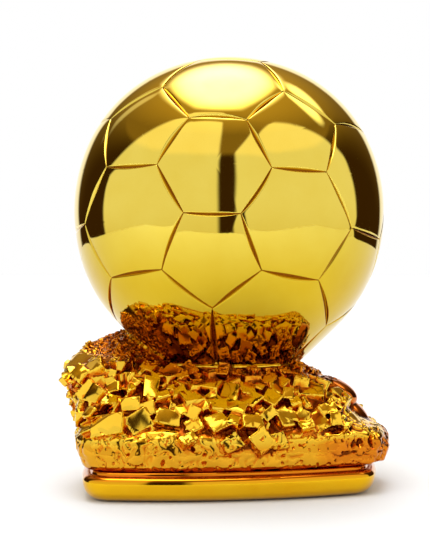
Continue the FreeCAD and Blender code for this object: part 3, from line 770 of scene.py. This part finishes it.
def noise_node(tree, scale, detail=3.0):
    """The factor of a noise over the object's own coordinates."""
    where = tree.nodes.new("ShaderNodeTexCoord")
    made = tree.nodes.new("ShaderNodeTexNoise")
    made.inputs["Scale"].default_value = scale
    made.inputs["Detail"].default_value = detail
    tree.links.new(where.outputs["Object"], made.inputs["Vector"])
    return made.outputs[0]


def span(tree, value, low, high, eased=False):
    """0 where a value is low, 1 where it is high, and a steady or eased way between."""
    made = tree.nodes.new("ShaderNodeMapRange")
    if eased:
        made.interpolation_type = "SMOOTHSTEP"
    made.inputs["From Min"].default_value = low
    made.inputs["From Max"].default_value = high
    tree.links.new(value, made.inputs["Value"])
    return made.outputs["Result"]


def ramp(tree, share, stops):
    """A colour ramp over a share: a list of (position, colour)."""
    made = tree.nodes.new("ShaderNodeValToRGB")
    made.color_ramp.elements[0].position = stops[0][0]
    made.color_ramp.elements[0].color = (*stops[0][1], 1)
    made.color_ramp.elements[1].position = stops[-1][0]
    made.color_ramp.elements[1].color = (*stops[-1][1], 1)
    for place, colour in stops[1:-1]:
        made.color_ramp.elements.new(place).color = (*colour, 1)
    tree.links.new(share, made.inputs["Fac"])
    return made.outputs["Color"]


def bump(tree, shader, share, height):
    """A bump from a share, in metres."""
    made = tree.nodes.new("ShaderNodeBump")
    made.inputs["Strength"].default_value = 1.0
    made.inputs["Distance"].default_value = height
    tree.links.new(share, made.inputs["Height"])
    tree.links.new(made.outputs["Normal"], shader.inputs["Normal"])


def spread(tree, shader, share, low, high):
    """Roughness that varies between two values."""
    made = tree.nodes.new("ShaderNodeMapRange")
    made.inputs["To Min"].default_value = low
    made.inputs["To Max"].default_value = high
    tree.links.new(share, made.inputs["Value"])
    tree.links.new(made.outputs["Result"], shader.inputs["Roughness"])


def tint_and_painted_shade_share(tree):
    """How much darker tint and painted shade is painted here."""
    made = tree.nodes.new("ShaderNodeAttribute")
    made.attribute_name = "tint_and_painted_shade"
    return made.outputs["Fac"]


BALL_GOLD = ((0.78, 0.61, 0.095), (0.76, 0.58, 0.08))
# The ball's gold with painted shade, for its lower part.
BALL_GOLD_PAINTED_SHADE = ((0.61, 0.415, 0.023), (0.59, 0.39, 0.017))
ROCK_GOLD = ((0.84, 0.55, 0.045), (0.80, 0.48, 0.03))
# The plinth's gold, deeper orange than the ball's partly by painted shade, standing in for the
# plinth mirroring its own shadow on the table.
PLINTH_GOLD = ((0.80, 0.45, 0.010), (0.77, 0.40, 0.006))
# Heights in metres over which the ball's tone goes from plain to deep: painted shade standing in
# for the shaded table near the trophy, mirrored in the ball's lower part.
BALL_PAINTED_SHADE_LEVELS = (0.116, 0.080)
# The darker tint and painted shade, from thin to thick.
TINT_AND_PAINTED_SHADE_TONES = [(0.0, (0.72, 0.42, 0.016)), (0.35, (0.66, 0.25, 0.010)),
              (0.7, (0.60, 0.155, 0.008)), (1.0, (0.13, 0.024, 0.002))]


def blend(tree, share, first, second):
    """A mix of two colour outputs by a share output."""
    made = tree.nodes.new("ShaderNodeMix")
    made.data_type = "RGBA"
    tree.links.new(share, made.inputs["Factor"])
    tree.links.new(first, made.inputs["A"])
    tree.links.new(second, made.inputs["B"])
    return made.outputs["Result"]


def cloudy(tree, tones):
    """Two close tones in faint clouds."""
    return ramp(tree, noise_node(tree, 90.0, 4.0), [(0.35, tones[0]), (0.75, tones[1])])


def gold(name, tones, roughness, lumps, lump_height):
    """Mirror-bright gold plate: faint clouding, faint tint changes and the casting's lumps."""
    made, tree, shader = material(name, tones[0], 1.0, roughness[0])
    spread(tree, shader, noise_node(tree, 240.0, 5.0), *roughness)
    bump(tree, shader, noise_node(tree, lumps, 2.0), lump_height)
    return made, tree, shader, cloudy(tree, tones)


def ball_gold():
    """The ball's plate, a little deeper in tone towards its foot and dark in its seams, both by
    painted shade.
    """
    made, tree, shader, tint = gold("ball_gold", BALL_GOLD, (0.03, 0.06), 38.0, 0.00008)
    where = tree.nodes.new("ShaderNodeTexCoord")
    split = tree.nodes.new("ShaderNodeSeparateXYZ")
    tree.links.new(where.outputs["Object"], split.inputs[0])
    share = span(tree, split.outputs["Z"], *BALL_PAINTED_SHADE_LEVELS, eased=True)
    plain = blend(tree, share, tint, cloudy(tree, BALL_GOLD_PAINTED_SHADE))
    depth = span(tree, tint_and_painted_shade_share(tree), 0.15, 0.95)
    # Painted shade in the seams.
    seam = ramp(tree, depth, [(0.0, (0.62, 0.36, 0.03)), (1.0, (0.30, 0.09, 0.006))])
    tree.links.new(blend(tree, depth, plain, seam), shader.inputs["Base Color"])
    return made


def gold_with_tint_and_painted_shade(name, tones, roughness, lumps, lump_height):
    """Gold plate darkened to red-brown where it is painted: a darker tint in the rock's crevices,
    painted shade under the ball and on the plinth, a painted reflection on the knobs.
    """
    made, tree, shader, tint = gold(name, tones, roughness, lumps, lump_height)
    painted = tint_and_painted_shade_share(tree)
    deep = ramp(tree, span(tree, painted, 0.0, 1.0), TINT_AND_PAINTED_SHADE_TONES)
    edge = span(tree, painted, 0.05, 0.30)
    tree.links.new(blend(tree, edge, tint, deep), shader.inputs["Base Color"])
    return made


def speckled(name, colours, metallic, roughness, scale, height):
    """A plain material with a two-tone grain and bump."""
    made, tree, shader = material(name, colours[0], metallic, roughness[0])
    grain = noise_node(tree, scale, 6.0)
    tint = ramp(tree, grain, [(0.35, colours[0]), (0.65, colours[1])])
    tree.links.new(tint, shader.inputs["Base Color"])
    spread(tree, shader, grain, *roughness)
    bump(tree, shader, grain, height)
    return made


def felt():
    """Black felt: short fibres in every direction, with a soft sheen."""
    made = speckled("felt", ((0.012, 0.012, 0.014), (0.035, 0.034, 0.036)), 0.0, (0.85, 1.0),
                    1500.0, 0.0003)
    made.node_tree.nodes["Principled BSDF"].inputs["Sheen Weight"].default_value = 0.4
    return made


def dress(names, made):
    """Give CAD nodes a material in every slot they have."""
    for name in names:
        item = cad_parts[name]
        if not item.material_slots:
            item.data.materials.append(made)
        for place in item.material_slots:
            place.material = made


# ---------------------------------------------------------------- stage, light and camera

def fill_world(tree, total, haze):
    """The colour of the world: its lights on a warm brown haze, and white to the camera."""
    shade = tree.nodes.new("ShaderNodeMix")
    shade.data_type = "RGBA"
    shade.inputs["A"].default_value = (0.045, 0.020, 0.003, 1)
    shade.inputs["B"].default_value = (0.58, 0.37, 0.10, 1)
    tree.links.new(haze, shade.inputs["Factor"])
    light = tree.nodes.new("ShaderNodeMix")
    light.data_type = "RGBA"
    light.blend_type = "ADD"
    light.inputs["Factor"].default_value = 1.0
    tree.links.new(shade.outputs["Result"], light.inputs["A"])
    tree.links.new(total, light.inputs["B"])

    background = tree.nodes["Background"]
    tree.links.new(light.outputs["Result"], background.inputs["Color"])
    plain = tree.nodes.new("ShaderNodeBackground")
    plain.inputs["Color"].default_value = (1, 1, 1, 1)
    path = tree.nodes.new("ShaderNodeLightPath")
    mix = tree.nodes.new("ShaderNodeMixShader")
    tree.links.new(path.outputs["Is Camera Ray"], mix.inputs[0])
    tree.links.new(background.outputs[0], mix.inputs[1])
    tree.links.new(plain.outputs[0], mix.inputs[2])
    tree.links.new(mix.outputs[0], tree.nodes["World Output"].inputs["Surface"])


def studio_light():
    """A soft studio in the world: two panels in front, three glows overhead, a bright back."""
    world = bpy.data.worlds.new("studio")
    bpy.context.scene.world = world
    world.use_nodes = True
    tree = world.node_tree
    nodes, links = tree.nodes, tree.links
    where = nodes.new("ShaderNodeTexCoord")
    split = nodes.new("ShaderNodeSeparateXYZ")
    links.new(where.outputs["Generated"], split.inputs[0])

    def calculate(kind, first, second=None, third=None):
        node = nodes.new("ShaderNodeMath")
        node.operation = kind
        for place, value in enumerate((first, second, third)):
            if value is None:
                continue
            if isinstance(value, (int, float)):
                node.inputs[place].default_value = value
            else:
                links.new(value, node.inputs[place])
        return node.outputs[0]

    def band(value, low, high, soft):
        """1 between low and high, falling off softly past them."""
        return calculate("SUBTRACT", span(tree, value, low - soft, low, eased=True),
                         span(tree, value, high, high + soft, eased=True))

    x, y, z = split.outputs
    forward = calculate("MULTIPLY", y, -1.0)
    turn = calculate("MULTIPLY", calculate("ARCTAN2", x, forward), 180 / math.pi)
    lift = calculate("MULTIPLY", calculate("ARCSINE", z), 180 / math.pi)

    def below(edge, soft=0.04):
        """1 on the near side of a straight edge, given as the normal of its plane."""
        side = nodes.new("ShaderNodeVectorMath")
        side.operation = "DOT_PRODUCT"
        links.new(where.outputs["Generated"], side.inputs[0])
        side.inputs[1].default_value = edge
        return band(side.outputs["Value"], -2.0, -soft, soft)

    left = calculate("MULTIPLY", band(turn, -101.0, -9.0, 3.5), below((0.236, 0.639, 0.291)))
    right = calculate("MULTIPLY", band(turn, 6.5, 101.0, 3.5), below((-0.299, 0.534, 0.331)))
    right = calculate("MULTIPLY", right, below((-0.408, 0.171, 0.251), 0.015))
    panel = calculate("MULTIPLY", calculate("ADD", left, right), band(lift, -22.0, 90.0, 1.5))

    def glow(centre, reach, lean, near, far):
        """A soft light overhead, 1 inside the near share of its reach and 0 past the far."""
        over = calculate("SUBTRACT", x, centre[0])
        past = calculate("SUBTRACT", y, centre[1])
        cos, sin = math.cos(math.radians(lean)), math.sin(math.radians(lean))
        along = calculate("MULTIPLY_ADD", over, cos / reach[0],
                          calculate("MULTIPLY", past, sin / reach[0]))
        across = calculate("MULTIPLY_ADD", over, -sin / reach[1],
                           calculate("MULTIPLY", past, cos / reach[1]))
        square = calculate("ADD", calculate("MULTIPLY", along, along),
                           calculate("MULTIPLY", across, across))
        return calculate("MULTIPLY", band(square, -1.0, near, far - near), band(z, 0.1, 2.0, 0.1))

    back = band(y, 0.875, 2.0, 0.06)
    total = calculate("MULTIPLY_ADD", back, 1.05, panel)
    for centre, reach, lean, near, power in (((-0.04, 0.20), (0.43, 0.60), 0, 0.12, 5.5),
                                             ((0.51, 0.33), (0.31, 0.12), -44, 0.1, 2.2),
                                             ((-0.53, 0.52), (0.19, 0.09), -31, 0.1, 0.5)):
        total = calculate("MULTIPLY_ADD", glow(centre, reach, lean, near, 1.0), power, total)
    haze = glow((0.0, 0.14), (0.60, 0.66), 0, 0.3, 2.2)
    haze = calculate("MAXIMUM", haze, calculate("MULTIPLY", band(lift, 39.0, 90.0, 5.0), 0.42))
    fill_world(tree, total, haze)


def stage():
    """A plain pale table top, and more of the same round it that isn't mirrored in the gold."""
    made, tree, shader = material("pale_table", (0.72, 0.785, 0.88), 0.0, 0.6)
    for name, left, right, front, back, mirrored in (
            ("table_top", -0.70, 0.70, -0.45, 2.2, True), ("floor", -14, 14, -14, 14, False)):
        height = 0.0 if mirrored else -0.2 * MM
        piece = mesh_object(name, [(left, front, height), (right, front, height),
                                   (right, back, height), (left, back, height)], [(0, 1, 2, 3)],
                            shade=False)
        piece.visible_glossy = mirrored
        piece.data.materials.append(made)


def lamp(name, place, target, width, power):
    """A soft square lamp that lights the table but isn't mirrored in the gold."""
    light = bpy.data.lights.new(name, "AREA")
    light.shape = "SQUARE"
    light.size = width
    light.energy = power
    made = bpy.data.objects.new(name, light)
    bpy.context.scene.collection.objects.link(made)
    made.location = place
    made.rotation_euler = (Vector(target) - Vector(place)).to_track_quat("-Z", "Y").to_euler()
    made.visible_glossy = False
    return made


CAMERA_PLACE = (-5.9 * MM, -561 * MM, 89 * MM)
CAMERA_LENS = 88.3


def camera():
    """Level with the middle of the trophy, a little left of its axis."""
    scene = bpy.context.scene
    data = bpy.data.cameras.new("camera")
    data.sensor_width = 36
    data.lens = CAMERA_LENS
    made = bpy.data.objects.new("camera", data)
    scene.collection.objects.link(made)
    made.location = CAMERA_PLACE
    made.rotation_euler = (math.radians(90), 0, 0)
    scene.camera = made


# ---------------------------------------------------------------- assembly

def place(item, made, slot, *nodes):
    """Fit a piece: its material, its body and the CAD nodes it stands for; the record slot is not
    used.
    """
    item.data.materials.append(made)
    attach(item, "root")
    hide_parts(*nodes)


def main():
    """Build the trophy's looks round the frame."""
    camera()
    studio_light()
    stage()
    lamp("table_light", (-0.3, -0.9, 0.6), (0, -0.1, 0), 0.9, 4.5)
    rock_gold = gold_with_tint_and_painted_shade("rock_gold", ROCK_GOLD, (0.07, 0.14), 700.0, 0.000008)
    plinth_gold = gold_with_tint_and_painted_shade("plinth_gold", PLINTH_GOLD, (0.05, 0.09), 60.0, 0.0002)
    place(football(), ball_gold(), "gold_ball", "football_shell")
    place(rock(), rock_gold, "gold_rock", "rock_base")
    place(bead(), rock_gold, "gold_rock", "neck_bead")
    place(plinth_casting(), plinth_gold, "gold_plinth", "plinth")
    dress(["felt_pad"], felt())
    dress(["bottom_board"], speckled("hardboard", ((0.19, 0.10, 0.05), (0.28, 0.16, 0.08)),
                                     0.0, (0.45, 0.7), 900.0, 0.0001))
    dress(["ball_plug"], speckled("bare_resin", ((0.70, 0.66, 0.58), (0.78, 0.75, 0.68)),
                                  0.0, (0.5, 0.65), 300.0, 0.0001))
    dress(["threaded_insert"], speckled("insert_brass", ((0.72, 0.52, 0.22), (0.80, 0.62, 0.30)),
                                        1.0, (0.25, 0.4), 500.0, 0.00005))
    dress(["ballast_weight"], speckled("ballast_iron", ((0.06, 0.06, 0.065), (0.13, 0.125, 0.12)),
                                       0.8, (0.6, 0.85), 260.0, 0.0004))
    dress(["centre_rod", "rod_nut", "rod_washer", "rod_spring_washer", "locating_pin",
           "plinth_dowels", "board_screws"],
          speckled("zinc_steel", ((0.58, 0.60, 0.63), (0.68, 0.69, 0.70)),
                   1.0, (0.3, 0.45), 700.0, 0.00003))
    bpy.context.scene.view_settings.view_transform = "Standard"


main()
